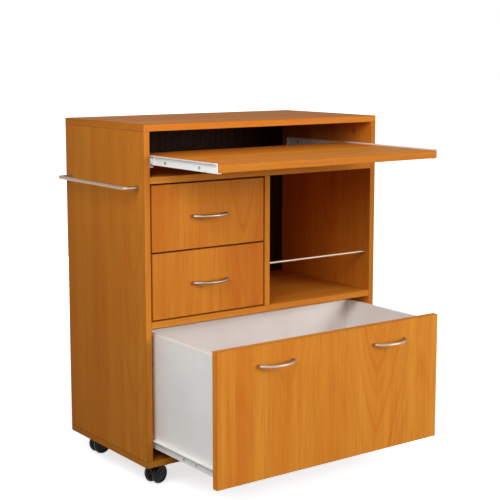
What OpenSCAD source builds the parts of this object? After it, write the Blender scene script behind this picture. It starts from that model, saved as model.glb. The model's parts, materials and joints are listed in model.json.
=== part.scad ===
// Microwave cart: a beech-look board cabinet on four twin-wheel casters.
// It has a pull-out work board, two small drawers, an open niche with a rail,
// one large pan drawer and a towel rail on its left side.
// Lengths are millimetres. X runs to the right, Y to the back, Z up.
// The origin is on the floor, under the middle of the cabinet.

/* [Cabinet] */
// Width over the two side panels
cabinet_w = 700; // [660:5:800]
// Depth from the front edges to the back panel's outer face
cabinet_d = 376; // [372:2:420]
// Height of the board cabinet, without its casters
cabinet_h = 806; // [790:2:860]
// Thickness of the carcass boards
board_t = 16; // [15:0.5:19]
// Thickness of the back panel
back_t = 3; // [2.5:0.5:5]
// How far the back panel stays inside the cabinet's outline
back_margin = 1; // [0.5:0.5:4]
// Clear height of the space for the large drawer
large_space_h = 317; // [280:1:330]
// Clear height of the space for the pull-out board
pullout_space_h = 104; // [90:1:120]
// Sideways place of the divider's middle
divider_x = 0; // [-30:1:30]

/* [Fronts] */
// Thickness of the drawer fronts
front_t = 16; // [15:0.5:19]
// Gap round each inset drawer front
front_gap = 3.5; // [2:0.5:5]

/* [Drawer boxes] */
// How much shorter a drawer box is than its runners
box_shortfall = 8; // [2:1:18]
// Thickness of the box sides and backs
box_t = 12; // [12:0.5:15]
// How much lower a small drawer's sides are than its front
small_side_drop = 40.25; // [37.25:0.25:60]
// How much lower the large drawer's sides are than its front
large_side_drop = 37; // [34:1:90]
// Thickness of the small drawers' bottoms
small_bottom_t = 3; // [2.5:0.5:4]
// Thickness of the large drawer's bottom
large_bottom_t = 4; // [3:0.5:5]
// How far a box's back stands in front of the ends of its sides
back_inset = 18; // [0:1:30]
// Depth of the grooves that hold a bottom
groove_depth = 6; // [4:0.5:7]
// Height of a groove above the box's lower edge
groove_lift = 10.5; // [9.5:0.5:14]

/* [Pull-out board] */
// Thickness of the pull-out board
pullout_t = 18; // [16:0.5:20]
// How far the pull-out board reaches behind its runners
pullout_overhang = 10; // [2:1:14]
// Height of its runners above the upper shelf
pullout_lift = 22.5; // [10:0.5:30]

/* [Runners] */
// Clearance between a drawer's runners and the back panel
runner_clearance = 16; // [10:1:30]
// Space that a runner pair fills beside a drawer
runner_space = 12.5; // [12.5:0.1:13.5]
// Height of the cabinet runner's channel
channel_h = 24; // [23:0.5:26]
// Width of the channel's lips
channel_w = 9.5; // [8:0.1:10]
// Thickness of the runner steel
steel_t = 1.2; // [1:0.1:1.4]
// Width of a roller
roller_w = 7; // [6:0.1:7.2]
// How much of a runner stays in the cabinet when it is pulled out
runner_overlap = 78; // [70:1:78]
// Height of a cabinet runner above the lower edge of its front
runner_lift = 17.5; // [14:0.5:24]
// How far the large drawer stands short of fully open at rest
large_short = 3; // [0:1:200]
// How far the pull-out board stands short of fully out at rest
pullout_short = 9; // [0:1:200]

/* [Handles and rails] */
// Distance between a handle's two feet
handle_span = 96; // [64:1:128]
// Reach of a handle's bow in front of its panel
handle_reach = 28; // [20:0.5:32]
// Diameter of a handle's rod
handle_d = 7.5; // [7:0.5:9]
// Distance between the large drawer's two handles
handle_spread = 340; // [200:5:400]
// Drop of these handles below the front's top edge
handle_drop = 46.5; // [30:0.5:90]
// Reach of the towel rail beside the cabinet
towel_reach = 38; // [30:1:60]
// Diameter of the towel rail
towel_d = 8; // [7:0.5:10]
// Drop of the towel rail below the cabinet's top
towel_drop = 144; // [136:1:148]
// Distance of the towel rail's front foot from the cabinet's front edge
towel_inset = 23; // [22:0.5:26]
// Distance of the towel rail's rear foot from the back panel
towel_rear_inset = 30; // [24:1:120]
// Diameter of the niche rail
niche_rail_d = 6.5; // [5:0.5:9]
// Height of the niche rail above the middle shelf
niche_rail_lift = 101; // [60:1:160]
// Distance of the niche rail from the cabinet's front edge
niche_rail_inset = 18; // [10:0.5:40]

/* [Casters] */
// Height of a caster from the floor to the cabinet
caster_h = 59; // [58:0.5:66]
// Diameter of the wheels
wheel_d = 48; // [44:1:50]
// Width of one wheel
wheel_w = 13.5; // [12:0.5:18]
// Width of the hub between the two wheels
hub_w = 10; // [10:0.5:12]
// Distance of the axle from the swivel axis
trail = 16; // [14:0.5:20]
// Distance of the swivel axes from the cabinet's sides
caster_inset_x = 40; // [36:1:70]
// Distance of the swivel axes from the front and the back
caster_inset_y = 48; // [36:1:80]
// Side of the square caster plate
plate_w = 42; // [40:1:46]

/* [Hidden] */
$fn = 64;
// Clearances
fit_gap = 0.05;      // round a turning pin, and round a dowel or a screw in its bore
press_gap = 0.02;    // round an axle that is pressed into its wheels
face_gap = 0.3;      // between faces that slide or roll past each other
groove_gap = 0.15;   // round a bottom in its groove
stop_gap = 0.3;      // between a roller and its stop
wheel_gap = 0.3;     // between a wheel and the caster's hub
through = 1;         // how far a cut runs past a face

// Cabinet
half_w = cabinet_w / 2;
front_y = -cabinet_d / 2;
rear_y = cabinet_d / 2;
boards_rear_y = rear_y - back_t;
boards_d = cabinet_d - back_t;
inner_x = half_w - board_t;
side_x = half_w - board_t / 2;
bottom_z = caster_h;
floor_z = bottom_z + board_t;
top_z = bottom_z + cabinet_h;
ceiling_z = top_z - board_t;
middle_z = floor_z + large_space_h;
middle_top_z = middle_z + board_t;
upper_top_z = ceiling_z - pullout_space_h;
upper_z = upper_top_z - board_t;
divider_left = divider_x - board_t / 2;
divider_right = divider_x + board_t / 2;

// Drawers: 0 is the upper one, 1 the lower one, 2 the large one, and 3 the pull-out board
small_front_h = (upper_z - middle_top_z - 3 * front_gap) / 2;
large_front_h = large_space_h - 2 * front_gap;
lower_front_z = middle_top_z + front_gap;
upper_front_z = lower_front_z + small_front_h + front_gap;
large_front_z = floor_z + front_gap;
space_left = [-inner_x, -inner_x, -inner_x, -inner_x];
space_right = [divider_left, divider_left, inner_x, inner_x];
front_z = [upper_front_z, lower_front_z, large_front_z];
front_h = [small_front_h, small_front_h, large_front_h];
small_box_h = small_front_h - small_side_drop;
large_box_h = large_front_h - large_side_drop;
box_h = [small_box_h, small_box_h, large_box_h];
bottom_t = [small_bottom_t, small_bottom_t, large_bottom_t];

// Runners, seen from their side panel: x from the panel, y from the front end, z from the underside
setback = 1;
runner_l = boards_d - front_t - setback - runner_clearance;
box_l = runner_l - box_shortfall;
pullout_d = runner_l + pullout_overhang;
travel = runner_l - runner_overlap;
rest_open = [0, 0, travel - large_short, travel - pullout_short];
seat_t = steel_t;
member_lift = 4.6;
box_lift = member_lift + seat_t;
roller_r = (channel_h - 2 * steel_t) / 2 - face_gap;
rear_roller_z = channel_h / 2;
flange_z = channel_h + steel_t;
member_top = flange_z + steel_t;
front_roller_z = flange_z - stop_gap - roller_r;
front_roller_y = 12;
rear_roller_y = runner_l + setback - steel_t - stop_gap - roller_r;
roller_side_gap = 1.6;
roller_x = steel_t + roller_side_gap;
member_web_x = runner_space - steel_t;
flange_side_gap = 1;
member_flange_x = steel_t + flange_side_gap;
seat_w = 10;
roller_pin_r = 2.5;
rivet_head_r = 4;
rivet_head_t = 1;
rivet_gap = 0.4;
rivet_recess_r = rivet_head_r + rivet_gap;
rivet_recess_t = rivet_head_t + rivet_gap;
stop_tab_w = 7;
stop_tab_l = 2;
stop_tab_h = 6;
stop_tab_y = rear_roller_y - travel - roller_r - stop_gap - stop_tab_l - setback;
lip_gap = 3;
lip_start = front_roller_y + roller_r + lip_gap;
runner_z = [
    upper_front_z + runner_lift,
    lower_front_z + runner_lift,
    large_front_z + runner_lift,
    upper_top_z + pullout_lift
];
runner_y = [front_y + front_t, front_y + front_t, front_y + front_t, front_y];
cabinet_screw_edge = 40;
cabinet_screw_y = [cabinet_screw_edge, runner_l / 2, runner_l - cabinet_screw_edge];
member_screw_edge = 35;
drawer_screw_y = [77, 127, runner_l - member_screw_edge];
board_screw_y = [67, 205, runner_l - member_screw_edge];
member_screw_y = [drawer_screw_y, drawer_screw_y, drawer_screw_y, board_screw_y];
member_screw_z = 13;
runner_screw_r = 1.75;
runner_screw_l = 12;
member_screw_l = 11;
runner_hole_gap = 0.3;
runner_hole_r = runner_screw_r + runner_hole_gap;
flat_head_r = 3.4;
flat_head_t = 1.1;
cross_w = 1.1;
cross_l = 4;
cross_depth = 0.7;

// Boxes
pullout_z = runner_z[3] + box_lift;
box_z = [for (i = [0:2]) runner_z[i] + box_lift];
dowel_thin_r = 3;
dowel_thin_l = 24;
box_dowel_edge = 28;
back_screw_r = 1.75;
back_screw_l = 35;
back_screw_low_edge = 42;
back_screw_top_edge = 21;

// Handles and rails
handle_r = handle_d / 2;
handle_bend_r = 6;
handle_leg = 4.6;
handle_half_bow = handle_span / 2 - handle_bend_r;
handle_angle = 2 * atan((handle_reach - handle_leg - handle_bend_r) / handle_half_bow);
handle_arc_r = handle_bend_r + handle_half_bow / sin(handle_angle);
bow_step = 0.02;     // how much thinner the bow is than its bends, so that it ends inside them
bow_overlap = 0.2;   // degrees that it runs into each bend
handle_screw_r = 2;
handle_screw_grip = 7;
pan_head_r = 3.8;
pan_head_t = 2.2;
towel_r = towel_d / 2;
towel_bend_r = 10;
towel_z = top_z - towel_drop;
towel_front_y = front_y + towel_inset;
towel_l = boards_d - towel_inset - towel_rear_inset;
towel_screw_grip = 10;
niche_rail_seat = 6;
niche_rail_y = front_y + niche_rail_inset;
niche_rail_z = middle_top_z + niche_rail_lift;

// Fittings in the boards
cam_inset = 68;
dowel_inset = 36;
cam_y = [front_y + cam_inset, boards_rear_y - cam_inset];
dowel_y = [front_y + dowel_inset, boards_rear_y - dowel_inset];
cam_r = 7.4;
cam_t = 12.2;
cam_reach = 24;
cam_mouth_r = 3.8;
cam_slot_w = 1.5;
cam_slot_l = 10;
cam_slot_t = 2;
bolt_thread_r = 2.5;
bolt_thread_l = 11;
bolt_shank_r = 3;
bolt_shank_l = 19;
bolt_neck_r = 1.6;
bolt_neck_l = 4;
bolt_head_r = 3.4;
bolt_head_l = 3;
bolt_bore_r = 3.6;
dowel_r = 4;
dowel_face_l = 11;
dowel_end_l = 19;
confirmat_r = 3.4;
confirmat_l = 40;
confirmat_head_r = 5;
confirmat_head_t = 2.5;
side_confirmat_edge = 48;
side_confirmat_y = [front_y + side_confirmat_edge, 0, boards_rear_y - side_confirmat_edge];
divider_confirmat_edge = 80;
divider_confirmat_y = [front_y + divider_confirmat_edge, boards_rear_y - divider_confirmat_edge];
nail_r = 0.8;
nail_l = 18;
nail_head_r = 2.4;
nail_head_t = 0.8;
nail_edge = 50;
nails_up = 6;
nails_across = 4;

// Casters
wheel_r = wheel_d / 2;
axle_r = 3;
axle_end = 3;
kingpin_r = 3;
kingpin_l = 23;
plate_t = 2.5;
plate_screw_edge = 6;
plate_screw_r = 1.75;
plate_screw_l = 14;
plate_hole_gap = 0.4;
plate_hole_r = plate_screw_r + plate_hole_gap;
plate_head_r = 3.4;
plate_head_t = 1.8;
boss_r = hub_w / 2;
hood_t = 2;
hood_gap = 1;
hood_from = 40;
hood_to = 130;
hub_disc_r = 9;
crown = 4;
dish = 1.5;
cap_r = 9;
twin_w = hub_w + 2 * wheel_gap + 2 * wheel_w;
caster_left_x = caster_inset_x - half_w;
caster_right_x = half_w - caster_inset_x;
caster_front_y = front_y + caster_inset_y;
caster_rear_y = rear_y - caster_inset_y;
caster_x = [caster_left_x, caster_right_x, caster_left_x, caster_right_x];
caster_y = [caster_front_y, caster_front_y, caster_rear_y, caster_rear_y];
caster_turn = [19, 28, 3, -12];

// Colours
beech = "#cd8530";
beech_shelf = "#c07a2c";
hardboard = "#8a6238";
box_white = "#e8e6e1";
runner_white = "#f1f1ef";
nylon = "#dcdcd8";
nickel = "#c2bdb4";
zinc = "#a9adb0";
black_plastic = "#1b1b1c";
dowel_wood = "#d9b98a";

// ---- Helpers ----

// A box between two opposite corners
module block(low, high) {
    translate(low) cube(high - low);
}

// A rod along +X, +Y or +Z that starts at the origin
module rod_x(r, l) {
    rotate([0, 90, 0]) cylinder(r = r, h = l);
}

module rod_y(r, l) {
    rotate([-90, 0, 0]) cylinder(r = r, h = l);
}

module rod_z(r, l) {
    cylinder(r = r, h = l);
}

// A screw head along +X, with a cross recess in its outer face
module screw_head(r, t) {
    difference() {
        rod_x(r, t);
        for (turn = [0, 90]) rotate([turn, 0, 0]) {
            block([t - cross_depth, -cross_w / 2, -cross_l / 2], [t + through, cross_w / 2, cross_l / 2]);
        }
    }
}

// A quarter or other bend of round rod in the XY plane, about the origin
module rod_bend(rod_r, bend_r, from, sweep) {
    rotate([0, 0, from]) rotate_extrude(angle = sweep) translate([bend_r, 0]) circle(r = rod_r);
}

// What is drawn for the left side, and once more mirrored about the plane at x = middle
module both_sides(middle) {
    children();
    translate([2 * middle, 0, 0]) mirror([1, 0, 0]) children();
}

// ---- Board fittings ----

// A cam bolt along +X: its thread lies before the origin and its head in the cam behind it
module cam_bolt() {
    translate([-bolt_thread_l, 0, 0]) rod_x(bolt_thread_r, bolt_thread_l);
    rod_x(bolt_shank_r, bolt_shank_l);
    translate([bolt_shank_l, 0, 0]) rod_x(bolt_neck_r, bolt_neck_l);
    translate([bolt_shank_l + bolt_neck_l, 0, 0]) rod_x(bolt_head_r, bolt_head_l);
}

// The cam that grips it: a zinc drum, open towards the bolt, with a screwdriver slot below
module cam_lock() {
    difference() {
        translate([cam_reach, 0, -board_t / 2]) rod_z(cam_r, cam_t);
        rod_x(cam_mouth_r, cam_reach + cam_mouth_r);
        translate([cam_reach - cam_slot_l / 2, -cam_slot_w / 2, -board_t / 2 - through])
            cube([cam_slot_l, cam_slot_w, cam_slot_t + through]);
    }
}

// What these two need cut out of the boards
module cam_bores() {
    translate([-bolt_thread_l - fit_gap, 0, 0]) rod_x(bolt_thread_r + fit_gap, bolt_thread_l + 2 * fit_gap);
    translate([-fit_gap, 0, 0]) rod_x(bolt_bore_r, cam_reach);
    translate([cam_reach, 0, -board_t / 2 - through]) rod_z(cam_r + fit_gap, cam_t + through + fit_gap);
}

// A dowel along +X, with its short end before the origin
module dowel(extra) {
    translate([-dowel_face_l - extra, 0, 0]) rod_x(dowel_r + extra, dowel_face_l + dowel_end_l + 2 * extra);
}

// A confirmat screw along +X, with its head's top face at the origin
module confirmat(extra) {
    translate([-extra, 0, 0]) rod_x(confirmat_head_r + extra, confirmat_head_t + extra);
    rod_x(confirmat_r + extra, confirmat_l + extra);
}

// Places of the shelf joints on the left side panel: bolts and dowels point inwards
module at_shelf_joints(y_places) {
    for (z = [middle_z, upper_z], y = y_places) {
        translate([-inner_x, y, z + board_t / 2]) children();
    }
}

// Places of the top panel's joints on the left side panel: they point down, with the cams' mouths inwards
module at_top_joints(y_places) {
    for (y = y_places) {
        translate([-side_x, y, ceiling_z]) rotate([0, 90, 0]) mirror([0, 0, 1]) children();
    }
}

module cam_joints() {
    both_sides(0) {
        at_shelf_joints(cam_y) children();
        at_top_joints(cam_y) children();
    }
}

module dowel_joints() {
    both_sides(0) {
        at_shelf_joints(dowel_y) children();
        at_top_joints(dowel_y) children();
    }
}

// Confirmat screws: up through the bottom into the sides, and through both shelves into the divider
module confirmat_joints() {
    both_sides(0) for (y = side_confirmat_y) translate([-side_x, y, bottom_z]) rotate([0, -90, 0]) children();
    for (y = divider_confirmat_y) {
        translate([divider_x, y, middle_z]) rotate([0, -90, 0]) children();
        translate([divider_x, y, upper_top_z]) rotate([0, 90, 0]) children();
    }
}

// All bores of the fittings, cut from each board that they meet
module fitting_bores() {
    cam_joints() cam_bores();
    dowel_joints() dowel(fit_gap);
    confirmat_joints() confirmat(fit_gap);
    at_back_nails() back_nail_shank(fit_gap);
    for (i = [0:3]) at_cabinet_screws(i) runner_screw_shank(steel_t, fit_gap);
    for (i = [0:3]) at_caster_axis(i) at_plate_screws() rod_z(plate_screw_r + fit_gap, plate_screw_l + fit_gap);
}

module bored(shade) {
    color(shade) difference() {
        children();
        fitting_bores();
    }
}

// ---- Cabinet ----

module top_panel() {
    bored(beech) block([-half_w, front_y, ceiling_z], [half_w, boards_rear_y, top_z]);
}

module bottom_panel() {
    bored(beech) block([-half_w, front_y, bottom_z], [half_w, boards_rear_y, floor_z]);
}

module side_board() {
    block([-half_w, front_y, floor_z], [-inner_x, boards_rear_y, ceiling_z]);
}

// The holes for the towel rail's two screws
module at_towel_feet() {
    for (y = [towel_front_y, towel_front_y + towel_l]) translate([-half_w, y, towel_z]) children();
}

module left_side_panel() {
    color(beech) difference() {
        bored(beech) side_board();
        at_towel_feet() translate([-through, 0, 0]) rod_x(handle_screw_r + fit_gap, board_t + 2 * through);
    }
}

module right_side_panel() {
    color(beech) difference() {
        bored(beech) mirror([1, 0, 0]) side_board();
        niche_rail_shape(fit_gap);
    }
}

module shelf(z) {
    bored(beech_shelf) block([-inner_x, front_y, z], [inner_x, boards_rear_y, z + board_t]);
}

module upper_shelf() {
    shelf(upper_z);
}

module middle_shelf() {
    shelf(middle_z);
}

module divider_panel() {
    color(beech_shelf) difference() {
        bored(beech_shelf) block([divider_left, front_y, middle_top_z],
            [divider_right, boards_rear_y, upper_z]);
        niche_rail_shape(fit_gap);
    }
}

module back_panel() {
    color(hardboard) difference() {
        block([back_margin - half_w, boards_rear_y, bottom_z + back_margin],
            [half_w - back_margin, rear_y, top_z - back_margin]);
        at_back_nails() back_nail_shank(fit_gap);
    }
}

// A U of round rod in the XY plane: its feet stand on the panel, and its bends are quarter circles
module towel_rail() {
    bar = towel_l - 2 * towel_bend_r;
    leg = towel_reach - towel_bend_r;
    color(nickel) difference() {
        translate([-half_w, towel_front_y, towel_z]) {
            translate([-leg, 0, 0]) rod_x(towel_r, leg);
            translate([-leg, towel_l, 0]) rod_x(towel_r, leg);
            translate([-towel_reach, towel_bend_r, 0]) rod_y(towel_r, bar);
            translate([-leg, towel_bend_r, 0]) rod_bend(towel_r, towel_bend_r, 180, 90);
            translate([-leg, towel_l - towel_bend_r, 0]) rod_bend(towel_r, towel_bend_r, 90, 90);
        }
        at_towel_feet() translate([-towel_screw_grip, 0, 0])
            rod_x(handle_screw_r + fit_gap, towel_screw_grip + through);
    }
}

module towel_rail_screws() {
    color(zinc) at_towel_feet() {
        translate([-towel_screw_grip + through, 0, 0])
            rod_x(handle_screw_r, board_t + towel_screw_grip - through);
        translate([board_t, 0, 0]) screw_head(pan_head_r, pan_head_t);
    }
}

module niche_rail_shape(extra) {
    translate([divider_right - niche_rail_seat - extra, niche_rail_y, niche_rail_z])
        rod_x(niche_rail_d / 2 + extra, inner_x - divider_right + 2 * niche_rail_seat + 2 * extra);
}

module niche_rail() {
    color(nickel) niche_rail_shape(0);
}

module cam_bolts() {
    color(zinc) cam_joints() cam_bolt();
}

module cam_locks() {
    color(zinc) cam_joints() cam_lock();
}

module wooden_dowels() {
    color(dowel_wood) dowel_joints() dowel(0);
}

module confirmat_screws() {
    color(zinc) confirmat_joints() confirmat(0);
}

// The places of the nails: up both sides, and along the top and the bottom
module at_back_nails() {
    rise = (cabinet_h - 2 * nail_edge) / (nails_up - 1);
    step = (cabinet_w - 2 * nail_edge) / (nails_across - 1);
    both_sides(0) for (i = [0:nails_up - 1]) {
        translate([-side_x, rear_y, bottom_z + nail_edge + i * rise]) children();
    }
    for (i = [0:nails_across - 1], z = [bottom_z + board_t / 2, top_z - board_t / 2]) {
        translate([nail_edge - half_w + i * step, rear_y, z]) children();
    }
}

module back_nail_shank(extra) {
    translate([0, -nail_l - extra, 0]) rod_y(nail_r + extra, nail_l + extra);
}

module back_panel_nails() {
    color(zinc) at_back_nails() {
        back_nail_shank(0);
        rod_y(nail_head_r, nail_head_t);
    }
}

// ---- Roller runners ----

// A roller's stud with its rivet head, along +X from the web that holds it
module roller_stud(l) {
    rod_x(roller_pin_r, l);
    translate([l - rivet_head_t, 0, 0]) rod_x(rivet_head_r, rivet_head_t);
}

// A nylon roller along +X, with a recess for the rivet head at its far end
module roller() {
    difference() {
        rod_x(roller_r, roller_w);
        translate([-through, 0, 0]) rod_x(roller_pin_r + fit_gap, roller_w + 2 * through);
        translate([roller_w - rivet_recess_t, 0, 0]) rod_x(rivet_recess_r, rivet_recess_t + through);
    }
}

// Stud length from a web's face to the far end of the recessed rivet head
front_stud_l = roller_x - steel_t + roller_w - (rivet_recess_t - rivet_head_t) / 2;
rear_stud_l = member_web_x - roller_x - (rivet_recess_t - rivet_head_t) / 2;

// The channel that is screwed to the cabinet, with its front roller's stud and the roller stops
module cabinet_member() {
    difference() {
        union() {
            block([0, 0, 0], [steel_t, runner_l, channel_h]);
            block([0, 0, 0], [channel_w, runner_l, steel_t]);
            block([0, lip_start, channel_h - steel_t], [channel_w, runner_l, channel_h]);
            block([0, runner_l - steel_t, 0], [channel_w, runner_l, channel_h]);
            block([0, stop_tab_y, rear_roller_z - stop_tab_h / 2],
                [stop_tab_w, stop_tab_y + stop_tab_l, rear_roller_z + stop_tab_h / 2]);
            translate([steel_t, front_roller_y, front_roller_z]) roller_stud(front_stud_l);
        }
        for (y = cabinet_screw_y) {
            translate([-through, y, channel_h / 2]) rod_x(runner_hole_r, steel_t + 2 * through);
        }
    }
}

// The profile that is screwed to a drawer: seat below, web, and a flange on top that rides on the roller
module drawer_member(i) {
    difference() {
        union() {
            block([member_web_x, 0, member_lift], [runner_space, runner_l, member_top]);
            block([member_flange_x, 0, flange_z], [runner_space, runner_l, member_top]);
            block([member_web_x, 0, member_lift], [runner_space + seat_w, runner_l, box_lift]);
            translate([member_web_x, rear_roller_y, rear_roller_z]) mirror([1, 0, 0]) roller_stud(rear_stud_l);
        }
        for (y = member_screw_y[i]) {
            translate([member_web_x - through, y, member_screw_z]) rod_x(runner_hole_r, steel_t + 2 * through);
        }
    }
}

// Both runners of slide i: on the left wall of its space, and mirrored on the right wall
module at_runners(i, y_shift) {
    both_sides((space_left[i] + space_right[i]) / 2) {
        translate([space_left[i], runner_y[i] + y_shift, runner_z[i]]) children();
    }
}

module cabinet_runners() {
    color(runner_white) for (i = [0:3]) at_runners(i, setback) cabinet_member();
}

// The places of the cabinet members' screws on the panels, which they enter against +X
module at_cabinet_screws(i) {
    at_runners(i, setback) for (y = cabinet_screw_y) translate([0, y, channel_h / 2]) children();
}

// The shank of a runner screw, from the runner's open face back into the board
module runner_screw_shank(from, extra) {
    translate([from - runner_screw_l - extra, 0, 0]) rod_x(runner_screw_r + extra, runner_screw_l + extra);
}

module cabinet_runner_screws() {
    color(zinc) for (i = [0:3]) at_cabinet_screws(i) {
        runner_screw_shank(steel_t, 0);
        translate([steel_t, 0, 0]) screw_head(flat_head_r, flat_head_t);
    }
}

module slide_runners(i) {
    color(runner_white) at_runners(i, -rest_open[i]) drawer_member(i);
}

// The places of the drawer members' screws, on the face of the web; they enter the drawer's side along +X
module at_member_screws(i) {
    at_runners(i, -rest_open[i]) for (y = member_screw_y[i]) {
        translate([member_web_x, y, member_screw_z]) children();
    }
}

module member_screws(i) {
    at_member_screws(i) {
        rod_x(runner_screw_r, member_screw_l);
        mirror([1, 0, 0]) screw_head(flat_head_r, flat_head_t);
    }
}

module member_screw_bores(i) {
    at_member_screws(i) rod_x(runner_screw_r + fit_gap, member_screw_l + fit_gap);
}

module front_rollers(i) {
    color(nylon) at_runners(i, setback) translate([roller_x, front_roller_y, front_roller_z]) roller();
}

module rear_rollers(i) {
    color(nylon) at_runners(i, -rest_open[i]) {
        translate([roller_x + roller_w, rear_roller_y, rear_roller_z]) mirror([1, 0, 0]) roller();
    }
}

// ---- Drawers ----

function box_left(i) = space_left[i] + runner_space;
function box_right(i) = space_right[i] - runner_space;
function box_middle(i) = (space_left[i] + space_right[i]) / 2;
function handle_z(i) = i == 2 ? front_z[i] + front_h[i] - handle_drop : front_z[i] + front_h[i] / 2;
function handle_places(i) = i == 2 ? [-handle_spread / 2, handle_spread / 2] : [box_middle(i)];

// Everything of drawer i is drawn closed, and moved out as far as it stands open at rest
module pulled(i) {
    translate([0, -rest_open[i], 0]) children();
}

// The space of a drawer's bottom board, let into the sides and the front
module bottom_shape(i, gap) {
    z = box_z[i] + groove_lift;
    deep = groove_depth - groove_gap + gap;
    rear = front_y + front_t + box_l - back_inset;
    block([box_left(i) + box_t - deep, front_y + front_t - deep, z - gap],
        [box_right(i) - box_t + deep, rear + gap, z + bottom_t[i] + gap]);
}

// The places of the dowels between the box sides and the front
module at_box_dowels(i) {
    both_sides(box_middle(i)) for (z = [box_z[i] + box_dowel_edge, box_z[i] + box_h[i] - box_dowel_edge]) {
        translate([box_left(i) + box_t / 2, front_y + front_t - dowel_thin_l / 2, z]) children();
    }
}

// The places of the screws through the box sides into the back
module at_back_screws(i) {
    low = box_z[i] + back_screw_low_edge;
    high = box_z[i] + box_h[i] - back_screw_top_edge;
    both_sides(box_middle(i)) for (z = [low, high]) {
        translate([box_left(i), front_y + front_t + box_l - back_inset - box_t / 2, z]) children();
    }
}

module back_screw_bore() {
    translate([-through, 0, 0]) rod_x(back_screw_r + fit_gap, back_screw_l + through + fit_gap);
}

module at_handle_feet(i) {
    for (x = handle_places(i), foot = [-handle_span / 2, handle_span / 2]) {
        translate([x + foot, front_y, handle_z(i)]) children();
    }
}

module drawer_front(i) {
    color(beech) pulled(i) difference() {
        block([space_left[i] + front_gap, front_y, front_z[i]],
            [space_right[i] - front_gap, front_y + front_t, front_z[i] + front_h[i]]);
        bottom_shape(i, groove_gap);
        at_box_dowels(i) translate([0, -fit_gap, 0]) rod_y(dowel_thin_r + fit_gap, dowel_thin_l);
        at_handle_feet(i) translate([0, -through, 0]) rod_y(handle_screw_r + fit_gap, front_t + 2 * through);
    }
}

module drawer_sides(i) {
    color(box_white) difference() {
        pulled(i) both_sides(box_middle(i)) block([box_left(i), front_y + front_t, box_z[i]],
            [box_left(i) + box_t, front_y + front_t + box_l, box_z[i] + box_h[i]]);
        pulled(i) bottom_shape(i, groove_gap);
        pulled(i) at_box_dowels(i) rod_y(dowel_thin_r + fit_gap, dowel_thin_l + fit_gap);
        pulled(i) at_back_screws(i) back_screw_bore();
        member_screw_bores(i);
    }
}

module drawer_back(i) {
    color(box_white) pulled(i) difference() {
        block([box_left(i) + box_t, front_y + front_t + box_l - back_inset - box_t,
            box_z[i] + groove_lift + bottom_t[i]],
            [box_right(i) - box_t, front_y + front_t + box_l - back_inset, box_z[i] + box_h[i]]);
        at_back_screws(i) back_screw_bore();
    }
}

module drawer_bottom(i) {
    color(box_white) pulled(i) bottom_shape(i, 0);
}

// A bow handle: two short legs, two tight bends and one arc between them
module handle() {
    bend_y = -handle_leg;
    arc_y = bend_y + (handle_arc_r - handle_bend_r) * cos(handle_angle);
    both_sides(0) {
        translate([-handle_span / 2, bend_y, 0]) rod_y(handle_r, handle_leg);
        translate([handle_bend_r - handle_span / 2, bend_y, 0])
            rod_bend(handle_r, handle_bend_r, 180, 90 - handle_angle);
    }
    translate([0, arc_y, 0]) rod_bend(handle_r - bow_step, handle_arc_r,
        270 - handle_angle - bow_overlap, 2 * (handle_angle + bow_overlap));
}

module drawer_handles(i) {
    color(nickel) pulled(i) difference() {
        for (x = handle_places(i)) translate([x, front_y, handle_z(i)]) handle();
        at_handle_feet(i) translate([0, -handle_screw_grip, 0])
            rod_y(handle_screw_r + fit_gap, handle_screw_grip + through);
    }
}

module drawer_fixings(i) {
    color(zinc) {
        member_screws(i);
        pulled(i) {
            at_handle_feet(i) rotate([0, 0, 90]) {
                translate([through - handle_screw_grip, 0, 0])
                    rod_x(handle_screw_r, front_t + handle_screw_grip - through);
                translate([front_t, 0, 0]) screw_head(pan_head_r, pan_head_t);
            }
            at_back_screws(i) {
                rod_x(back_screw_r, back_screw_l);
                mirror([1, 0, 0]) screw_head(flat_head_r, flat_head_t);
            }
            at_box_dowels(i) rod_y(dowel_thin_r, dowel_thin_l);
        }
    }
}

module pullout_board() {
    color(beech) difference() {
        pulled(3) block([-inner_x + runner_space, front_y, pullout_z],
            [inner_x - runner_space, front_y + pullout_d, pullout_z + pullout_t]);
        member_screw_bores(3);
    }
}

// ---- Casters ----

// One caster's frame: the swivel axis at the origin, the wheels behind it along +X
module at_caster(i) {
    at_caster_axis(i) rotate([0, 0, caster_turn[i]]) children();
}

module at_caster_axis(i) {
    translate([caster_x[i], caster_y[i], 0]) children();
}

module at_plate_screws() {
    place = plate_w / 2 - plate_screw_edge;
    for (x = [-place, place], y = [-place, place]) translate([x, y, caster_h - plate_t]) children();
}

// A steel plate with its kingpin, square to the cabinet
module caster_plates() {
    color(zinc) for (i = [0:3]) at_caster_axis(i) {
        difference() {
            block([-plate_w / 2, -plate_w / 2, caster_h - plate_t], [plate_w / 2, plate_w / 2, caster_h]);
            at_plate_screws() translate([0, 0, -through]) rod_z(plate_hole_r, plate_t + 2 * through);
        }
        translate([0, 0, caster_h - kingpin_l]) rod_z(kingpin_r, kingpin_l - plate_t);
    }
}

module caster_screws() {
    color(zinc) for (i = [0:3]) at_caster_axis(i) at_plate_screws() {
        translate([0, 0, -plate_head_t]) rod_z(plate_head_r, plate_head_t);
        rod_z(plate_screw_r, plate_screw_l);
    }
}

// The hood about the axle: a curved cover over both wheels, and the hub plate between them
module hood() {
    inner_r = wheel_r + hood_gap;
    reach = 2 * wheel_r;
    intersection() {
        difference() {
            translate([0, -twin_w / 2, 0]) rod_y(inner_r + hood_t, twin_w);
            translate([0, -twin_w / 2 - through, 0]) rod_y(inner_r, (twin_w - hub_w) / 2 + through);
            translate([0, hub_w / 2, 0]) rod_y(inner_r, (twin_w - hub_w) / 2 + through);
        }
        translate([0, twin_w / 2 + through, 0]) rotate([90, 0, 0]) linear_extrude(twin_w + 2 * through)
            polygon([[0, 0], [reach * cos(hood_from), reach * sin(hood_from)], [reach, reach],
                [-reach, reach], [reach * cos(hood_to), reach * sin(hood_to)]]);
    }
}

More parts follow.
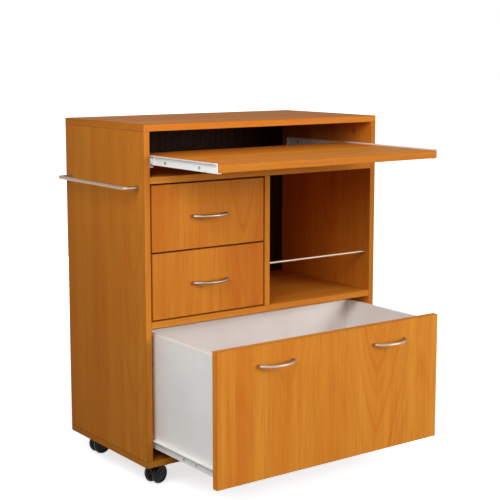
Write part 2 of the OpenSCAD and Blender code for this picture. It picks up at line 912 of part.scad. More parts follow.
// The housing: the hood on its hub plate, with a boss for the kingpin
module caster_housing(i) {
    boss_h = caster_h - plate_t - face_gap - wheel_r;
    color(black_plastic) at_caster(i) difference() {
        union() {
            translate([trail, 0, wheel_r]) {
                hood();
                translate([0, -hub_w / 2, 0]) rod_y(hub_disc_r, hub_w);
            }
            translate([0, 0, wheel_r]) rod_z(boss_r, boss_h);
        }
        translate([0, 0, caster_h - kingpin_l - through]) rod_z(kingpin_r + fit_gap, kingpin_l + through);
        translate([trail, -hub_w / 2 - through, wheel_r]) rod_y(axle_r + fit_gap, hub_w + 2 * through);
    }
}

// One wheel along +Y from its inner face: a crowned tread, and a dished outer face round a cap
module wheel() {
    dish_to = wheel_r - crown - 2;
    difference() {
        rotate([-90, 0, 0]) rotate_extrude() polygon([
            [0, 0], [wheel_r - crown, 0], [wheel_r - crown / 4, crown / 2], [wheel_r, wheel_w / 2],
            [wheel_r - crown / 4, wheel_w - crown], [wheel_r - crown, wheel_w], [dish_to, wheel_w],
            [dish_to - dish, wheel_w - dish], [cap_r + dish, wheel_w - dish], [cap_r, wheel_w], [0, wheel_w]
        ]);
        translate([0, -through, 0]) rod_y(axle_r + press_gap, wheel_w - axle_end + through);
    }
}

module caster_wheels(i) {
    axle_l = twin_w - 2 * axle_end - 2 * press_gap;
    color(black_plastic) at_caster(i) translate([trail, 0, wheel_r]) {
        translate([0, hub_w / 2 + wheel_gap, 0]) wheel();
        mirror([0, 1, 0]) translate([0, hub_w / 2 + wheel_gap, 0]) wheel();
        translate([0, -axle_l / 2, 0]) rod_y(axle_r, axle_l);
    }
}

// ---- Nodes ----

top_panel();
left_side_panel();
right_side_panel();
bottom_panel();
upper_shelf();
middle_shelf();
divider_panel();
back_panel();
towel_rail();
towel_rail_screws();
niche_rail();
cam_bolts();
cam_locks();
wooden_dowels();
confirmat_screws();
back_panel_nails();
cabinet_runners();
cabinet_runner_screws();
caster_plates();
caster_screws();
caster_housing(0);  // front_left_caster_housing
caster_housing(1);  // front_right_caster_housing
caster_housing(2);  // rear_left_caster_housing
caster_housing(3);  // rear_right_caster_housing
caster_wheels(0);  // front_left_caster_wheels
caster_wheels(1);  // front_right_caster_wheels
caster_wheels(2);  // rear_left_caster_wheels
caster_wheels(3);  // rear_right_caster_wheels
pullout_board();
slide_runners(3);  // pullout_runners
color(zinc) member_screws(3);  // pullout_screws
drawer_front(0);  // upper_drawer_front
drawer_sides(0);  // upper_drawer_sides
drawer_back(0);  // upper_drawer_back
drawer_bottom(0);  // upper_drawer_bottom
drawer_handles(0);  // upper_drawer_handle
slide_runners(0);  // upper_drawer_runners
drawer_fixings(0);  // upper_drawer_fixings
drawer_front(1);  // lower_drawer_front
drawer_sides(1);  // lower_drawer_sides
drawer_back(1);  // lower_drawer_back
drawer_bottom(1);  // lower_drawer_bottom
drawer_handles(1);  // lower_drawer_handle
slide_runners(1);  // lower_drawer_runners
drawer_fixings(1);  // lower_drawer_fixings
drawer_front(2);  // large_drawer_front
drawer_sides(2);  // large_drawer_sides
drawer_back(2);  // large_drawer_back
drawer_bottom(2);  // large_drawer_bottom
drawer_handles(2);  // large_drawer_handles
slide_runners(2);  // large_drawer_runners
drawer_fixings(2);  // large_drawer_fixings
front_rollers(0);  // upper_front_rollers
rear_rollers(0);  // upper_rear_rollers
front_rollers(1);  // lower_front_rollers
rear_rollers(1);  // lower_rear_rollers
front_rollers(2);  // large_front_rollers
rear_rollers(2);  // large_rear_rollers
front_rollers(3);  // pullout_front_rollers
rear_rollers(3);  // pullout_rear_rollers
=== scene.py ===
"""A beech-look kitchen cart with its work board pulled out and its large drawer open.

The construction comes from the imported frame. This script gives every part its finish, adds small
details, and sets the floor, the lights and the camera. Lengths are metres.
"""

import json
import math

import bpy
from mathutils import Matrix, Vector


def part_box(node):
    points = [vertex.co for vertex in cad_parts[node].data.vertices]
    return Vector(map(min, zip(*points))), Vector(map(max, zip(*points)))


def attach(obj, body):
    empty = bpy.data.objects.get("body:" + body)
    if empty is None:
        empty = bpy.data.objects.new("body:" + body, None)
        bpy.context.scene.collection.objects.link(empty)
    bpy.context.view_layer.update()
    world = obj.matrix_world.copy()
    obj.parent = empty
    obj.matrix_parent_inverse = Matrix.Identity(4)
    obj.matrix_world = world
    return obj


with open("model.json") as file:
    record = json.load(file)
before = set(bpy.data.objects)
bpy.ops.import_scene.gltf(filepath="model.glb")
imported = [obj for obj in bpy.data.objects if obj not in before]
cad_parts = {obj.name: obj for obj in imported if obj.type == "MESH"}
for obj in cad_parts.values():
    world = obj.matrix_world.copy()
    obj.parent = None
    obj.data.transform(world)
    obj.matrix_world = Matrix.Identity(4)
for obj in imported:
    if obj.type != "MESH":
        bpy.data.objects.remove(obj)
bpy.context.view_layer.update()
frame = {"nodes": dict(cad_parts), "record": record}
nodes = frame["nodes"]

MM = 0.001
X, Y, Z = 0, 1, 2


# ---- Colours ----

def linear(red, green, blue):
    """Turns a colour of 0 to 255 as seen on a screen into the shader's linear values."""
    def one(value):
        value /= 255
        return value / 12.92 if value <= 0.04045 else ((value + 0.055) / 1.055) ** 2.4
    return (one(red), one(green), one(blue), 1.0)


BEECH_LIGHT = linear(219, 146, 50)
BEECH_MIDDLE = linear(209, 132, 42)
BEECH_DARK = linear(187, 98, 28)
BEECH_RED = linear(202, 113, 34)
BEECH_ARCH = linear(200, 96, 28)
BEECH_PORE = linear(146, 76, 22)
GLUE_LINE = linear(110, 56, 18)
WHITE_BOARD = linear(250, 249, 245)
WHITE_STEEL = linear(250, 250, 248)
SCUFF_GREY = linear(170, 170, 168)
NYLON = linear(226, 225, 218)
# Satin nickel, darkened and warmed with a painted reflection of the surrounding beech.
NICKEL_WITH_PAINTED_REFLECTION = linear(167, 147, 130)
ZINC = linear(166, 162, 155)
ZINC_DULL = linear(132, 127, 120)
DOWEL = linear(222, 190, 140)
HARDBOARD = linear(178, 136, 94)
HARDBOARD_FLECK = linear(132, 94, 58)
# Painted shade: the back's inner face is dark brown to stand in for the shade deep in the compartments.
PAINTED_SHADE_INSIDE = linear(50, 27, 13)
PAINTED_SHADE_STREAKS = linear(30, 15, 7)
CAP_BROWN = linear(178, 108, 44)
CAP_BROWN_DARK = linear(164, 96, 38)
CASTER_BLACK = linear(7, 7, 7)
CASTER_DUST = linear(48, 47, 46)
FLOOR_WHITE = linear(250, 250, 250)
FLOOR_BOUNCE = linear(118, 116, 112)
WHITE = (1.0, 1.0, 1.0, 1.0)


# ---- Shader building ----

ROUNDING_SAMPLES = 4
BOARD_ROUNDING = 0.8 * MM


class Nodes:
    """Short calls that add nodes to the tree of a material or of the world."""

    def __init__(self, tree):
        self.tree = tree

    def feed(self, socket, value):
        """Links an input to another node's output, or sets its own value."""
        if isinstance(value, bpy.types.NodeSocket):
            self.tree.links.new(value, socket)
        else:
            socket.default_value = value

    def node(self, kind, *values, **settings):
        """A new node with these settings, and these values for its first inputs."""
        made = self.tree.nodes.new(kind)
        for name, value in settings.items():
            setattr(made, name, value)
        for socket, value in zip(made.inputs, values):
            self.feed(socket, value)
        return made

    def math(self, operation, *values):
        return self.node("ShaderNodeMath", *values, operation=operation).outputs[0]

    def times(self, first, second):
        return self.math("MULTIPLY", first, second)

    def blend(self, factor, first, second):
        """A number that goes from first to second as the factor goes from 0 to 1."""
        made = self.node("ShaderNodeMix", factor)
        self.feed(made.inputs["A"], first)
        self.feed(made.inputs["B"], second)
        return made.outputs[0]

    def mix(self, factor, first, second, blend_type="MIX"):
        """A colour that goes from first to second as the factor goes from 0 to 1."""
        return self.node("ShaderNodeMixRGB", factor, first, second, blend_type=blend_type).outputs[0]

    def between(self, value, low, high, to_low=0.0, to_high=1.0):
        """A smooth step: to_low where value is under low, to_high where it is over high."""
        return self.node("ShaderNodeMapRange", value, low, high, to_low, to_high,
                         interpolation_type="SMOOTHSTEP").outputs[0]

    def seen_directly(self):
        """1 for what the camera, gloss or glass sees, and 0 for the light that is thrown on things."""
        path = self.node("ShaderNodeLightPath")
        seen = path.outputs["Is Camera Ray"]
        for ray in ("Is Glossy Ray", "Is Transmission Ray"):
            seen = self.math("MAXIMUM", seen, path.outputs[ray])
        return seen


class Shader(Nodes):
    """One material, whose nodes are made by short calls and end in its Principled shader."""

    def __init__(self, name, **surface):
        self.material = bpy.data.materials.new(name)
        self.material.use_nodes = True
        super().__init__(self.material.node_tree)
        self.surface = self.tree.nodes["Principled BSDF"]
        self.use(**surface)

    def use(self, **surface):
        """Feeds inputs of the Principled shader, in whose names _ stands for a space."""
        for socket, value in surface.items():
            self.feed(self.surface.inputs[socket.replace("_", " ")], value)
        return self.material

    def place(self):
        """The shaded point, in the part's own frame."""
        return self.node("ShaderNodeTexCoord").outputs["Object"]

    def point(self, x, y, z):
        return self.node("ShaderNodeCombineXYZ", x, y, z).outputs[0]

    def axes(self, vector):
        return self.node("ShaderNodeSeparateXYZ", vector).outputs

    def normal(self):
        """The surface's direction, as its parts along X, Y and Z."""
        return self.axes(self.node("ShaderNodeNewGeometry").outputs["True Normal"])

    def facing(self):
        """How squarely the surface faces along X, Y and Z, each 0 to 1."""
        return [self.math("ABSOLUTE", value) for value in self.normal()]

    def noise(self, vector, detail=2.0, roughness=0.5):
        made = self.node("ShaderNodeTexNoise")
        self.feed(made.inputs["Vector"], vector)
        self.feed(made.inputs["Scale"], 1.0)
        self.feed(made.inputs["Detail"], detail)
        self.feed(made.inputs["Roughness"], roughness)
        return made.outputs["Fac"]

    def spots(self, scale, detail=2.0, roughness=0.5):
        """Noise with this many repeats per metre, one number for each axis or one for all three."""
        scales = scale if isinstance(scale, tuple) else (scale, scale, scale)
        scaled = self.node("ShaderNodeVectorMath", self.place(), scales, operation="MULTIPLY")
        return self.noise(scaled.outputs[0], detail, roughness)

    def grain_noise(self, u, v, seed, across, along, shift=0.0, detail=2.0, roughness=0.5):
        """Noise drawn out along the grain. across and along are its repeats per metre."""
        point = self.point(self.times(u, across), self.times(v, along), seed + shift)
        return self.noise(point, detail, roughness)

    def uneven(self, noise, base, spread):
        """A value that rises from the base by the spread, as the noise goes from 0 to 1."""
        return self.math("MULTIPLY_ADD", noise, spread, base)

    def bump(self, height, depth, strength=1.0, rounding=0.0):
        """Bumps from a height, over edges that catch the light as if they were rounded."""
        made = self.node("ShaderNodeBump")
        if rounding:
            rounded = self.node("ShaderNodeBevel", rounding, samples=ROUNDING_SAMPLES)
            self.feed(made.inputs["Normal"], rounded.outputs["Normal"])
        self.feed(made.inputs["Strength"], strength)
        self.feed(made.inputs["Distance"], depth)
        self.feed(made.inputs["Height"], height)
        self.use(Normal=made.outputs["Normal"])


def paint(material, *names):
    """Gives nodes of the frame a material."""
    for name in names:
        for held in nodes[name].material_slots:
            held.material = material


# ---- Beech boards ----

FIRST_SEED = 1.0
SEED_STEP = 13.0        # keeps each board's figure apart from the others'
RING_STEP = 0.10        # from one growth ring to the next, along the grain at a crown
FLANK_SLOPE = 3.4       # how steeply the figure's lines run along the grain between the crowns
TIP_SHARPNESS = 0.35    # 0 for round arches, 1 for pointed ones
WANDER = 0.030          # how far the figure strays sideways
RIPPLE_SHARE = 0.3      # how far its ripples go, as a share of that
CROWN_START = -0.4      # the wave across the figure is -1 to 1: a crown starts here
CROWN_FULL = 0.6        # and is at its clearest from here
LINES_PER_RING = 2.4
LINE_CHANGE = 1.5       # how quickly the lines change along the grain, repeats per metre
LINE_DETAIL = 3.0
LINE_ROUGHNESS = 0.62
ARCH_STEP = 0.75        # rings from one clear arch to the gap before the next
ARCH_CORE = 0.03        # rings from the middle of a clear arch to where it starts to fade
ARCH_WIDTH = 0.2        # and to where it has faded
SECOND_ARCHES = 0.3     # how much of the arches shows at the crowns beside the main one
SECOND_FOLDS = 1.5      # folds from the main crown to where only that much shows

# How much of each thing shows, 0 to 1, and the noise levels where it starts and is full.
PATCH_LEAST = 0.4
PATCH_LEVELS = (0.36, 0.62)
FIGURE_LEAST = 0.5      # between the crowns
FIGURE_MOST = 0.9       # at the crowns
DARK_LINES = 0.6
DARK_LEVELS = (0.50, 0.70)
LIGHT_LINES = 0.7
LIGHT_LEVELS = (0.50, 0.34)
CLEAR_ARCHES = 0.75
STREAKS_BETWEEN = 0.5   # between the crowns
STREAKS_AT_CROWN = 0.3
STREAK_LEVELS = (0.44, 0.76)
PORES_SHOWN = 0.3
PORE_LEVELS = (0.62, 0.72)

# The figure's noises: repeats per metre across and along the grain, and what the seed is shifted by.
STRAY = {"across": 3.0, "along": 1.1}
RIPPLE = {"across": 17.0, "along": 4.0, "shift": 2.0}
PATCHES = {"across": 5.0, "along": 1.4, "shift": 3.0}
BROAD = {"across": 9.0, "along": 0.6, "shift": 12.3}
PALE = {"across": 17.0, "along": 0.9, "shift": 5.0}
BANDS = {"across": 75.0, "along": 1.6, "shift": 17.0}
STREAKS = {"across": 260.0, "along": 6.0, "detail": 3.0, "roughness": 0.6}
PORES = {"across": 1500.0, "along": 170.0, "detail": 1.0}

# The tones over the figure's lines: noise, levels where it starts and is full, how much it then
# covers, and colour.
TONES = (
    (BROAD, 0.44, 0.70, 0.75, BEECH_RED),
    (PALE, 0.42, 0.72, 0.80, BEECH_LIGHT),
    (BANDS, 0.46, 0.74, 0.50, BEECH_RED),
)

SEAM_WIDTH = 0.9 * MM   # of the dark line where an edge band meets the face
SEAM_CORE = 0.3         # the share of that width in which it is darkest
SEAM_SHOWN = 0.6

# Painted light and shade, which multiply the figure's colour: a warm painted shade on the side panels'
# faces, a dimmer painted shade on the small fronts' faces below the pull-out board, painted shade on
# the top panel's face, deep painted shade on the bottom panel's face, painted light on the pull-out
# board's faces, dark painted shade on the small fronts' edge bands in the gaps, lighter and deeper
# painted shade on other edge bands, and painted light on the large front's side edge bands.
PLAIN = (1.0, 1.0, 1.0, 1.0)
WARM_PAINTED_SHADE = (1.0, 0.95, 0.92, 1.0)
RECESS_PAINTED_SHADE = (0.86, 0.80, 0.76, 1.0)
TOP_PAINTED_SHADE = (0.84, 0.82, 0.76, 1.0)
BOTTOM_PAINTED_SHADE = (0.66, 0.56, 0.46, 1.0)
PAINTED_LIGHT_FACE = (1.12, 1.13, 1.02, 1.0)
GAP_PAINTED_SHADE = (0.64, 0.56, 0.50, 1.0)
SOFT_PAINTED_SHADE_EDGE = (0.92, 0.90, 0.88, 1.0)
SHADED_EDGE = (0.84, 0.80, 0.78, 1.0)
DEEP_PAINTED_SHADE_EDGE = (0.76, 0.71, 0.68, 1.0)
PAINTED_LIGHT_EDGE = (1.26, 1.12, 1.04, 1.0)


def edge_distance(shader, place, low, high):
    """How far the shaded point of a box-shaped board is from the nearest edge of its face.

    That is the middle one of its distances to the box's sides along X, Y and Z. The smallest one is
    to the face it lies on.
    """
    gaps = []
    for value, start, end in zip(shader.axes(place), low, high):
        from_start = shader.math("SUBTRACT", value, start)
        to_end = shader.math("SUBTRACT", end, value)
        gaps.append(shader.math("MINIMUM", from_start, to_end))
    lower = shader.math("MINIMUM", gaps[X], gaps[Y])
    upper = shader.math("MAXIMUM", gaps[X], gaps[Y])
    return shader.math("MAXIMUM", lower, shader.math("MINIMUM", upper, gaps[Z]))


def board_grain(shader, place, facing, along, across, thick):
    """Coordinates over the face and along its grain. On the edges the grain runs lengthways too."""
    value = shader.axes(place)
    ends = shader.math("ROUND", facing[along])
    sides = shader.math("ROUND", facing[across])
    v = shader.blend(ends, value[along], value[across])
    u = shader.blend(sides, value[across], value[thick])
    u = shader.blend(ends, u, value[thick])
    return u, v


def figure_lines(shader, u, v, crown, fold, seed):
    """Growth rings cut at a slant.

    The result is soft lines from 0 to 1, the clearest arches, and how near a crown is.
    """
    stray = shader.math("SUBTRACT", shader.grain_noise(u, v, seed, **STRAY), 0.5)
    ripple = shader.math("SUBTRACT", shader.grain_noise(u, v, seed, **RIPPLE), 0.5)
    moved = shader.math("MULTIPLY_ADD", stray, 2 * WANDER, u)
    moved = shader.math("MULTIPLY_ADD", ripple, RIPPLE_SHARE * WANDER, moved)
    aside = shader.math("SUBTRACT", moved, crown[0])
    flank = FLANK_SLOPE * fold / RING_STEP
    wave = shader.math("COSINE", shader.times(aside, math.pi / fold))
    rounded = shader.times(shader.math("SUBTRACT", wave, 1.0), 0.5 * (1 - TIP_SHARPNESS) * flank)
    pointed = shader.times(shader.math("PINGPONG", aside, fold), TIP_SHARPNESS * flank / fold)
    rise = shader.times(shader.math("SUBTRACT", v, crown[1]), 1 / RING_STEP)
    ring = shader.math("SUBTRACT", shader.math("ADD", rise, rounded), pointed)
    point = shader.point(shader.times(ring, LINES_PER_RING), shader.times(v, LINE_CHANGE), seed)
    lines = shader.noise(point, LINE_DETAIL, LINE_ROUGHNESS)
    arch = shader.between(shader.math("PINGPONG", ring, ARCH_STEP), ARCH_CORE, ARCH_WIDTH, 1.0, 0.0)
    main = shader.between(shader.math("ABSOLUTE", aside), fold, SECOND_FOLDS * fold, 1.0, SECOND_ARCHES)
    near = shader.times(shader.between(wave, CROWN_START, CROWN_FULL), main)
    return lines, shader.times(arch, near), near


def figure_colour(shader, u, v, crown, fold, seed, arches):
    """The colour of the printed figure, and the streaks and pores in it."""
    lines, arch, near = figure_lines(shader, u, v, crown, fold, seed)
    patchy = shader.between(shader.grain_noise(u, v, seed, **PATCHES), *PATCH_LEVELS, PATCH_LEAST)
    most = shader.between(near, 0.0, 1.0, FIGURE_LEAST * arches, FIGURE_MOST * arches)
    shown = shader.times(patchy, most)
    dark = shader.times(shader.between(lines, *DARK_LEVELS), shown)
    light = shader.times(shader.between(lines, *LIGHT_LEVELS), shown)
    colour = shader.mix(shader.times(dark, DARK_LINES), BEECH_MIDDLE, BEECH_DARK)
    colour = shader.mix(shader.times(light, LIGHT_LINES), colour, BEECH_LIGHT)
    for grain, start, full, cover, tone in TONES:
        amount = shader.between(shader.grain_noise(u, v, seed, **grain), start, full, 0.0, cover)
        colour = shader.mix(amount, colour, tone)
    streaks = shader.grain_noise(u, v, seed, **STREAKS)
    strongest = shader.between(near, 0.0, 1.0, STREAKS_BETWEEN, STREAKS_AT_CROWN)
    streaked = shader.times(shader.between(streaks, *STREAK_LEVELS), strongest)
    colour = shader.mix(streaked, colour, BEECH_DARK)
    colour = shader.mix(shader.times(arch, shader.times(shown, CLEAR_ARCHES)), colour, BEECH_ARCH)
    pores = shader.between(shader.grain_noise(u, v, seed, **PORES), *PORE_LEVELS)
    colour = shader.mix(shader.times(pores, PORES_SHOWN), colour, BEECH_PORE)
    return colour, streaks, pores


def finish_board(name, crown, fold, seed, along, across,
                 face=PLAIN, edges=PLAIN, ends=None, arches=1.0):
    """Melamine with a printed beech figure: nested arches, streaks and fine pores along the grain.

    crown is the place of a tip of the arches, across and along the grain. The tips point down or to
    the left, and the arches are mirrored after each fold. face, edges and ends are painted light and
    shade that multiply the colour of the board's faces, of its edge bands along the grain and of those
    across it, which are the same where ends isn't given. arches says how clearly the figure shows.
    """
    thick = X + Y + Z - along - across
    shader = Shader(name + "_beech")
    place = shader.place()
    facing = shader.facing()
    u, v = board_grain(shader, place, facing, along, across, thick)
    colour, streaks, pores = figure_colour(shader, u, v, crown, fold, seed, arches)
    edge = edge_distance(shader, place, *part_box(name))
    seam = shader.between(edge, SEAM_CORE * SEAM_WIDTH, SEAM_WIDTH, SEAM_SHOWN, 0.0)
    colour = shader.mix(seam, colour, GLUE_LINE)
    band = shader.mix(facing[along], edges, ends or edges)
    shade = shader.mix(facing[thick], band, face)
    colour = shader.mix(1.0, colour, shade, "MULTIPLY")
    relief = shader.math("SUBTRACT", streaks, pores)
    shader.bump(relief, depth=0.05 * MM, strength=0.5, rounding=BOARD_ROUNDING)
    gloss = shader.uneven(streaks, base=0.54, spread=0.14)
    paint(shader.use(Base_Color=colour, Roughness=gloss, Specular_IOR_Level=0.06), name)


def finish_boards():
    """Finishes the beech boards, with the crown and the fold of each one's figure."""
    front = {"along": Z, "across": X}
    upright = {"along": Z, "across": Y}
    level = {"along": X, "across": Y}
    # face, edges and ends below paint light and shade on each board's faces and edge bands.
    small_front = {**front, "face": RECESS_PAINTED_SHADE, "edges": GAP_PAINTED_SHADE, "arches": 0.7}
    side = {**upright, "face": WARM_PAINTED_SHADE, "arches": 0.45}
    inner = {"edges": SOFT_PAINTED_SHADE_EDGE, "arches": 0.7}
    boards = (
        ("large_drawer_front", (0.137, 0.129), 0.137, {**front, "edges": PAINTED_LIGHT_EDGE, "ends": PLAIN}),
        ("upper_drawer_front", (-0.075, 0.60), 0.12, small_front),
        ("lower_drawer_front", (-0.04, 0.40), 0.14, small_front),
        ("left_side_panel", (-0.135, 0.36), 0.16, {**side, "edges": SOFT_PAINTED_SHADE_EDGE}),
        ("right_side_panel", (-0.04, 0.40), 0.15, {**side, "edges": DEEP_PAINTED_SHADE_EDGE}),
        ("top_panel", (0.02, 0.10), 0.16, {**level, "face": TOP_PAINTED_SHADE}),
        ("bottom_panel", (-0.03, -0.10), 0.16, {**level, "face": BOTTOM_PAINTED_SHADE, "ends": SHADED_EDGE}),
        ("pullout_board", (-0.30, 0.05), 0.15, {**level, "face": PAINTED_LIGHT_FACE, "edges": SOFT_PAINTED_SHADE_EDGE}),
        ("upper_shelf", (0.05, -0.20), 0.16, {**level, **inner}),
        ("middle_shelf", (0.0, 0.15), 0.16, {**level, **inner}),
        ("divider_panel", (0.02, 0.50), 0.16, {**upright, **inner}),
    )
    for number, (name, crown, fold, looks) in enumerate(boards):
        finish_board(name, crown, fold, FIRST_SEED + number * SEED_STEP, **looks)


# ---- Back, white boards, steel and plastic ----

def back_board():
    """Hardboard: raw and flecked outside; towards the inside a streaked print, dark brown with painted
    shade.
    """
    shader = Shader("back_board")
    flecks = shader.spots((420.0, 420.0, 900.0), detail=3.0, roughness=0.7)
    clouds = shader.spots((9.0, 9.0, 6.0), detail=3.0)
    raw = shader.mix(shader.between(flecks, 0.45, 0.68), HARDBOARD, HARDBOARD_FLECK)
    raw = shader.mix(shader.between(clouds, 0.35, 0.75, to_high=0.35), raw, HARDBOARD_FLECK)
    printed = shader.spots((160.0, 1.0, 5.0), detail=3.0)
    # painted shade: the inner face's dark colour stands in for the shade deep in the compartments
    painted_inside = shader.mix(shader.between(printed, 0.4, 0.7), PAINTED_SHADE_INSIDE, PAINTED_SHADE_STREAKS)
    inside = shader.math("LESS_THAN", shader.normal()[Y], -0.5)
    shader.bump(flecks, depth=0.12 * MM, strength=0.6)
    return shader.use(Base_Color=shader.mix(inside, raw, painted_inside), Roughness=0.62, Specular_IOR_Level=0.1)


def white_board():
    """Off-white melamine with its faint pebbled press texture."""
    shader = Shader("white_board")
    pebbles = shader.spots(900.0)
    clouds = shader.spots(7.0)
    colour = shader.mix(shader.between(clouds, 0.35, 0.7, to_high=0.10), WHITE_BOARD, SCUFF_GREY)
    shader.bump(pebbles, depth=0.04 * MM, strength=0.4, rounding=BOARD_ROUNDING)
    return shader.use(Base_Color=colour, Roughness=shader.uneven(pebbles, base=0.36, spread=0.15))


def white_steel():
    """White powder coat with orange peel, and grey tracks where rollers run along it."""
    shader = Shader("white_steel")
    peel = shader.spots(620.0, detail=1.0)
    tracks = shader.spots((900.0, 9.0, 900.0), detail=3.0)
    worn = shader.times(shader.between(tracks, 0.55, 0.75, to_high=0.5), shader.facing()[Z])
    shader.bump(peel, depth=0.05 * MM, strength=0.5)
    colour = shader.mix(worn, WHITE_STEEL, SCUFF_GREY)
    return shader.use(Base_Color=colour, Roughness=shader.uneven(worn, base=0.32, spread=0.25))


def nylon():
    """Off-white rollers with grey grime."""
    shader = Shader("roller_nylon")
    grime = shader.spots(260.0, detail=3.0)
    colour = shader.mix(shader.between(grime, 0.5, 0.8, to_high=0.5), NYLON, SCUFF_GREY)
    shader.bump(grime, depth=0.03 * MM, strength=0.3)
    return shader.use(Base_Color=colour, Roughness=0.48)


def satin_nickel():
    """Satin-plated rod: fine brushing and slightly uneven gloss, its colour darkened and warmed with a
    painted reflection of the beech.
    """
    shader = Shader("satin_nickel", Metallic=1.0)
    brushing = shader.spots((60.0, 60.0, 2600.0))
    clouds = shader.spots(40.0)
    shader.bump(brushing, depth=0.02 * MM, strength=0.4)
    gloss = shader.uneven(brushing, base=0.38, spread=0.12)
    gloss = shader.uneven(clouds, base=gloss, spread=0.06)
    return shader.use(Base_Color=NICKEL_WITH_PAINTED_REFLECTION, Roughness=gloss)


def zinc():
    """Zinc plating, slightly cloudy."""
    shader = Shader("zinc_plated", Metallic=1.0)
    clouds = shader.spots(300.0, detail=3.0)
    colour = shader.mix(shader.between(clouds, 0.35, 0.7), ZINC, ZINC_DULL)
    shader.bump(clouds, depth=0.03 * MM, strength=0.4)
    return shader.use(Base_Color=colour, Roughness=shader.uneven(clouds, base=0.25, spread=0.2))


def dowel_wood():
    """Pale wood with darker streaks."""
    shader = Shader("dowel_wood")
    streaks = shader.spots((30.0, 900.0, 900.0), detail=3.0)
    colour = shader.mix(shader.between(streaks, 0.4, 0.7, to_high=0.6), DOWEL, BEECH_DARK)
    shader.bump(streaks, depth=0.1 * MM, strength=0.5)
    return shader.use(Base_Color=colour, Roughness=0.7)


def caster_plastic():
    """Black moulded plastic with a fine grain, and a little dust low on the treads."""
    shader = Shader("caster_plastic")
    grain = shader.spots(1500.0, detail=1.0)
    dust = shader.spots(120.0, detail=3.0)
    height = shader.axes(shader.place())[Z]
    most = shader.between(height, low=2 * MM, high=30 * MM, to_low=0.35, to_high=0.05)
    amount = shader.times(shader.between(dust, 0.45, 0.75), most)
    shader.bump(grain, depth=0.03 * MM, strength=0.4)
    colour = shader.mix(amount, CASTER_BLACK, CASTER_DUST)
    gloss = shader.uneven(grain, base=0.38, spread=0.15)
    return shader.use(Base_Color=colour, Roughness=gloss, Specular_IOR_Level=0.2)


def nodes_of_slot(name):
    """The frame's nodes that the record gives this material slot."""
    return [part["node"] for part in frame["record"]["subparts"] if part["material_slot"] == name]


def finish_fittings():
    """Finishes everything of the frame but the beech boards."""
    paint(back_board(), "back_panel")
    paint(white_board(), *nodes_of_slot("white_board"))
    paint(white_steel(), *nodes_of_slot("runner_steel"))
    paint(nylon(), *nodes_of_slot("roller_nylon"))
    paint(satin_nickel(), *nodes_of_slot("satin_nickel"))
    paint(zinc(), *nodes_of_slot("zinc_plated"))
    paint(dowel_wood(), *nodes_of_slot("dowel_wood"))
    paint(caster_plastic(), *nodes_of_slot("caster_plastic"))


# ---- Caps over the cam locks ----

CAP_RADIUS = 8.6 * MM
CAP_HEIGHT = 1.3 * MM
CAP_DISH_RADIUS = 0.72 * CAP_RADIUS
CAP_DISH = 0.35 * MM        # how much its middle is sunk below its rim
CAP_STEM_RADIUS = 2.2 * MM
CAP_STEM = 1.5 * MM
CAP_SIDES = 40
CAM_REACH = 24 * MM         # from the end of a board to the middle of its cam lock
CAM_INSET = 68 * MM         # from the front or back edge of a side panel to a cam lock

# The rim's outline, from below to above, as shares of the cap's radius and height.
CAP_RIM = ((1.0, 0.0), (1.0, 0.45), (0.965, 0.8), (0.9, 1.0), (0.8, 1.0))


def cap_mesh():
    """A round cap about +Z: a bevelled rim, a dished middle, and a stem that grips the cam's recess.

    Its points and faces come in the same order each run.
    """
    outline = [(0.0, -CAP_STEM), (CAP_STEM_RADIUS, -CAP_STEM), (CAP_STEM_RADIUS, 0.0)]
    outline += [(wide * CAP_RADIUS, high * CAP_HEIGHT) for wide, high in CAP_RIM]
    outline += [(CAP_DISH_RADIUS, CAP_HEIGHT - CAP_DISH), (0.0, CAP_HEIGHT - CAP_DISH)]
    points = []
    rings = []
    for radius, height in outline:
        sides = CAP_SIDES if radius else 1      # one point in the middle
        rings.append(range(len(points), len(points) + sides))
        for side in range(sides):
            turn = math.tau * side / CAP_SIDES
            points.append((radius * math.cos(turn), radius * math.sin(turn), height))
    faces = []
    for ring, following in zip(rings, rings[1:]):
        for side in range(CAP_SIDES):
            after = (side + 1) % CAP_SIDES
            corners = [ring[side % len(ring)], ring[after % len(ring)],
                       following[after % len(following)], following[side % len(following)]]
            faces.append(tuple(dict.fromkeys(corners)))     # three corners where two are the middle
    mesh = bpy.data.meshes.new("cam_cap")
    mesh.from_pydata(points, [], faces)
    return mesh


def cap_plastic():
    """Brown plastic with a fine grain, a little cloudy."""
    shader = Shader("cam_cap_plastic")
    grain = shader.spots(1300.0, detail=1.0)
    clouds = shader.spots(90.0)
    shader.bump(grain, depth=0.03 * MM, strength=0.4)
    colour = shader.mix(shader.between(clouds, 0.35, 0.7), CAP_BROWN, CAP_BROWN_DARK)
    return shader.use(Base_Color=colour, Roughness=shader.uneven(grain, base=0.45, spread=0.1))


def add_cam_caps():
    """A cap over each cam lock: on the sides' inner faces below the top, and below both shelves."""
    plastic = cap_plastic()
    side_low, side_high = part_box("left_side_panel")
    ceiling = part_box("top_panel")[0][Z]
    rows = (side_low[Y] + CAM_INSET, side_high[Y] - CAM_INSET)
    inner = -side_high[X]
    places = []
    for turn in (-1, 1):
        for row in rows:
            places.append(((turn * inner, row, ceiling - CAM_REACH), (-turn, 0, 0)))
            for shelf in ("upper_shelf", "middle_shelf"):
                places.append(((turn * (inner - CAM_REACH), row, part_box(shelf)[0][Z]), (0, 0, -1)))
    for number, (place, outwards) in enumerate(places, 1):
        cap = bpy.data.objects.new(f"cam_cap_{number}", cap_mesh())
        cap.data.materials.append(plastic)
        cap.location = place
        cap.rotation_euler = Vector(outwards).to_track_quat("Z", "Y").to_euler()
        bpy.context.scene.collection.objects.link(cap)
        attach(cap, "cabinet")


# ---- Floor, light and camera ----

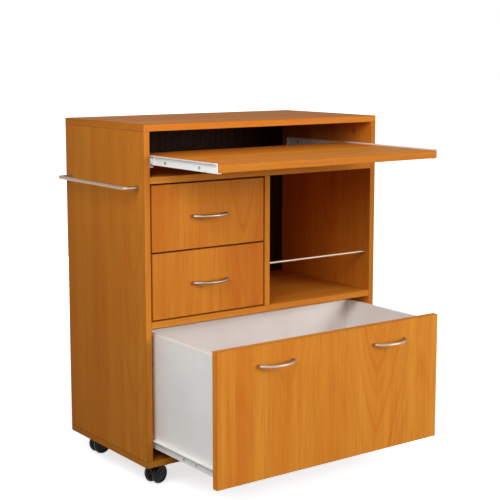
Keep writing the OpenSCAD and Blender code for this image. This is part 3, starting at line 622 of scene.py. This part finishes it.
CAMERA_PLACE = (-1.769, -2.537, 1.025)
CAMERA_YAW = 36.16         # degrees from straight ahead towards the right
CAMERA_PITCH = 8.31        # degrees down
CAMERA_LENS = 87.33        # millimetres, as is the sensor
CAMERA_SENSOR = 36.0
CAMERA_SHIFT = -0.04
FLOOR_SIZE = 60.0
FLOOR_GLOW = 0.68
FLOOR_NEAR = 0.8           # the floor keeps the shadow up to here, metres from the middle
FLOOR_FAR = 2.6            # and is plain white from here
SKY_TOWARDS = (0.2, -0.8, 0.6)
SKY_FALL = (-0.4, 1.0)     # the cosines of the angle from there at which the sky is dim and bright
SKY_DIM = 0.13
SKY_BRIGHT = 0.46
LIGHT_AIM = (0.0, -0.2, 0.45)
LIGHTS = (                 # name, place, width and power
    ("key", (1.6, -3.0, 1.15), 1.6, 69.0),
    ("fill", (-1.35, -1.05, 1.4), 0.9, 18.0),
    ("back", (0.7, 3.0, 0.42), 0.8, 27.0),
)


def set_floor():
    """A white floor that keeps the shadow and throws little light back."""
    bpy.ops.mesh.primitive_plane_add(size=FLOOR_SIZE)
    floor = bpy.context.object
    floor.name = "floor"
    shader = Shader("floor_white")
    seen = shader.seen_directly()
    away = shader.node("ShaderNodeVectorMath", shader.place(), operation="LENGTH").outputs["Value"]
    glow = shader.between(away, FLOOR_NEAR, FLOOR_FAR, FLOOR_GLOW, 1.0)
    floor.data.materials.append(shader.use(
        Base_Color=shader.mix(seen, FLOOR_BOUNCE, FLOOR_WHITE),
        Emission_Color=WHITE,
        Emission_Strength=shader.times(seen, glow),
        Roughness=shader.uneven(shader.spots(30.0), base=0.8, spread=0.1),
        Specular_IOR_Level=0.0))


def set_world():
    """Soft light that is strongest from the front and above, in front of a white background."""
    world = bpy.context.scene.world or bpy.data.worlds.new("studio")
    bpy.context.scene.world = world
    world.use_nodes = True
    sky = Nodes(world.node_tree)
    direction = sky.node("ShaderNodeTexCoord").outputs["Generated"]
    brightest = Vector(SKY_TOWARDS).normalized()
    ahead = sky.node("ShaderNodeVectorMath", direction, brightest, operation="DOT_PRODUCT")
    light = sky.between(ahead.outputs["Value"], *SKY_FALL, SKY_DIM, SKY_BRIGHT)
    background = world.node_tree.nodes["Background"]
    sky.feed(background.inputs["Strength"], sky.blend(sky.seen_directly(), light, 1.0))
    sky.feed(background.inputs["Color"], WHITE)


def add_lights():
    """Square soft lights that point at the object."""
    for name, place, width, power in LIGHTS:
        light = bpy.data.lights.new(name, "AREA")
        light.size = width
        light.energy = power
        held = bpy.data.objects.new(name, light)
        held.location = place
        held.rotation_euler = (Vector(LIGHT_AIM) - Vector(place)).to_track_quat("-Z", "Y").to_euler()
        held.visible_camera = False
        bpy.context.scene.collection.objects.link(held)


def set_camera():
    """The camera at the photo's viewing angle."""
    data = bpy.data.cameras.new("camera")
    data.lens = CAMERA_LENS
    data.sensor_width = CAMERA_SENSOR
    data.shift_y = CAMERA_SHIFT
    camera = bpy.data.objects.new("camera", data)
    camera.location = CAMERA_PLACE
    camera.rotation_euler = (math.radians(90 - CAMERA_PITCH), 0.0, math.radians(-CAMERA_YAW))
    bpy.context.scene.collection.objects.link(camera)
    bpy.context.scene.camera = camera


bpy.context.scene.view_settings.view_transform = "Standard"
finish_boards()
finish_fittings()
add_cam_caps()
set_floor()
set_world()
add_lights()
set_camera()
